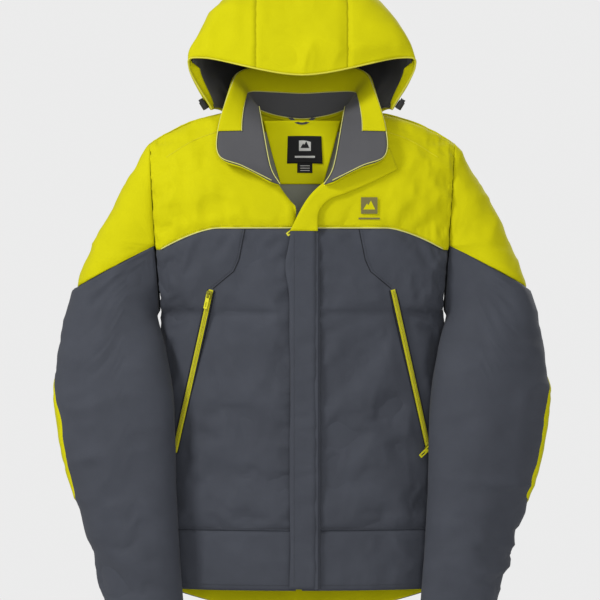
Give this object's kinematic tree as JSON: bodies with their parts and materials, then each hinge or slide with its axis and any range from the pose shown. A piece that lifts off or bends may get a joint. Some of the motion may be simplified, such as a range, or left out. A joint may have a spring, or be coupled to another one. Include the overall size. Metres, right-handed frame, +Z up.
{
  "type": "ski jacket",
  "caption": "Hooded insulated ski jacket with a full front zip under a storm flap, zipped hand pockets, fold-back hood and swinging sleeves, hung by its neck loop.",
  "frame": {"origin": "middle of the hanger loop's inner side, at the back of the neck", "axes": "+Z up along the hanging jacket, -Y to its front, +X to the wearer's left"},
  "size_m": [0.8156, 0.2686, 1.106],
  "materials": {
    "shell_yellow": "yellow woven nylon shell, matte",
    "shell_grey": "dark grey woven nylon shell, matte",
    "lining": "grey woven lining, soft sheen",
    "collar_grey": "grey brushed collar lining",
    "black_trim": "moulded black plastic and woven label",
    "zip_metal": "painted zip slider",
    "puller_yellow": "moulded yellow pull tab"
  },
  "bodies": {
    "jacket": {"right_front_yoke": "shell_yellow", "left_front_yoke": "shell_yellow", "back_yoke": "shell_yellow", "right_sleeve_cap": "shell_yellow", "left_sleeve_cap": "shell_yellow", "right_front_facing": "shell_yellow", "left_front_facing": "shell_yellow", "back_hem_facing": "shell_yellow", "neck_facing": "shell_yellow", "collar_shell": "shell_yellow", "collar_band": "shell_yellow", "flap_wing": "shell_yellow", "right_pocket_coil": "shell_yellow", "left_pocket_coil": "shell_yellow", "right_front_panel": "shell_grey", "left_front_panel": "shell_grey", "back_panel": "shell_grey", "right_sleeve_upper": "shell_grey", "left_sleeve_upper": "shell_grey", "right_pocket_tape": "shell_grey", "left_pocket_tape": "shell_grey", "right_zip_tape": "shell_grey", "left_zip_tape": "shell_grey", "flap_root": "shell_grey", "hanger_loop": "shell_grey", "right_pocket_bag": "lining", "left_pocket_bag": "lining", "right_front_lining": "lining", "left_front_lining": "lining", "back_lining": "lining", "collar_lining": "collar_grey", "main_zip_coil": "black_trim", "flap_loop_strip": "black_trim", "neck_label": "black_trim", "chest_emblem": "black_trim"},
    "hood": {"hood_middle": "shell_yellow", "hood_right_side": "shell_yellow", "hood_left_side": "shell_yellow", "hood_lining": "lining", "right_cord_lock": "black_trim", "left_cord_lock": "black_trim"},
    "right_button": {"right_lock_button": "black_trim"},
    "left_button": {"left_lock_button": "black_trim"},
    "right_sleeve": {"right_sleeve_lower": "shell_grey", "right_elbow_panel": "shell_yellow", "right_cuff": "shell_grey"},
    "left_sleeve": {"left_sleeve_lower": "shell_grey", "left_elbow_panel": "shell_yellow", "left_cuff": "shell_grey"},
    "right_tab": {"right_cuff_tab": "shell_grey"},
    "left_tab": {"left_cuff_tab": "shell_grey"},
    "flap": {"storm_flap": "shell_grey", "flap_hook_strip": "black_trim"},
    "zip_slider": {"main_slider": "zip_metal"},
    "zip_puller": {"main_puller": "puller_yellow"},
    "right_pocket_slider": {"right_pocket_slider": "zip_metal"},
    "left_pocket_slider": {"left_pocket_slider": "zip_metal"},
    "right_pocket_puller": {"right_pocket_puller": "puller_yellow"},
    "left_pocket_puller": {"left_pocket_puller": "puller_yellow"}
  },
  "joints": [
    {"name": "hood_fold", "type": "hinge", "parent": "jacket", "child": "hood", "pos_m": [0, 0.0204, 0], "axis": [-1, 0, 0], "range_deg": [0, 60]},
    {"name": "right_sleeve_swing", "type": "hinge", "parent": "jacket", "child": "right_sleeve", "pos_m": [-0.38823, -0.06721, -0.32157], "axis": [0, 1, 0], "range_deg": [0, 30]},
    {"name": "right_tab_peel", "type": "hinge", "parent": "right_sleeve", "child": "right_tab", "pos_m": [-0.3001, -0.15433, -0.85183], "axis": [0.1399, -0.0309, -0.9897], "range_deg": [0, 100]},
    {"name": "right_button_press", "type": "slide", "parent": "hood", "child": "right_button", "axis": [0.519, 0.1998, -0.8311], "range_m": [0, 0.004], "stiffness_N_per_m": 300},
    {"name": "right_pocket_zip", "type": "slide", "parent": "jacket", "child": "right_pocket_slider", "axis": [-0.2185, 0.1304, -0.9671], "range_m": [0, 0.26119]},
    {"name": "right_pocket_pull", "type": "hinge", "parent": "right_pocket_slider", "child": "right_pocket_puller", "pos_m": [-0.15499, -0.13277, -0.29693], "axis": [-0.8865, 0.3877, 0.2526], "range_deg": [0, 150]},
    {"name": "left_sleeve_swing", "type": "hinge", "parent": "jacket", "child": "left_sleeve", "pos_m": [0.38823, -0.06721, -0.32157], "axis": [0, -1, 0], "range_deg": [0, 30]},
    {"name": "left_tab_peel", "type": "hinge", "parent": "left_sleeve", "child": "left_tab", "pos_m": [0.3001, -0.15433, -0.85183], "axis": [0.1399, 0.0309, 0.9897], "range_deg": [0, 100]},
    {"name": "left_button_press", "type": "slide", "parent": "hood", "child": "left_button", "axis": [-0.519, 0.1998, -0.8311], "range_m": [0, 0.004], "stiffness_N_per_m": 300},
    {"name": "left_pocket_zip", "type": "slide", "parent": "jacket", "child": "left_pocket_slider", "axis": [-0.2185, -0.1304, 0.9671], "range_m": [0, 0.26119]},
    {"name": "left_pocket_pull", "type": "hinge", "parent": "left_pocket_slider", "child": "left_pocket_puller", "pos_m": [0.21205, -0.09871, -0.54953], "axis": [-0.5968, -0.2921, 0.7473], "range_deg": [0, 40]},
    {"name": "flap_open", "type": "hinge", "parent": "jacket", "child": "flap", "pos_m": [0.026, -0.1491, 0], "axis": [0, 0, 1], "range_deg": [0, 120]},
    {"name": "main_zip", "type": "slide", "parent": "jacket", "child": "zip_slider", "axis": [0, 0, -1], "range_m": [0, 0.582]},
    {"name": "main_pull", "type": "hinge", "parent": "zip_slider", "child": "zip_puller", "pos_m": [-0.006, -0.1433, -0.184], "axis": [-0.5817, 0, 0.8134], "range_deg": [0, 10]}
  ]
}
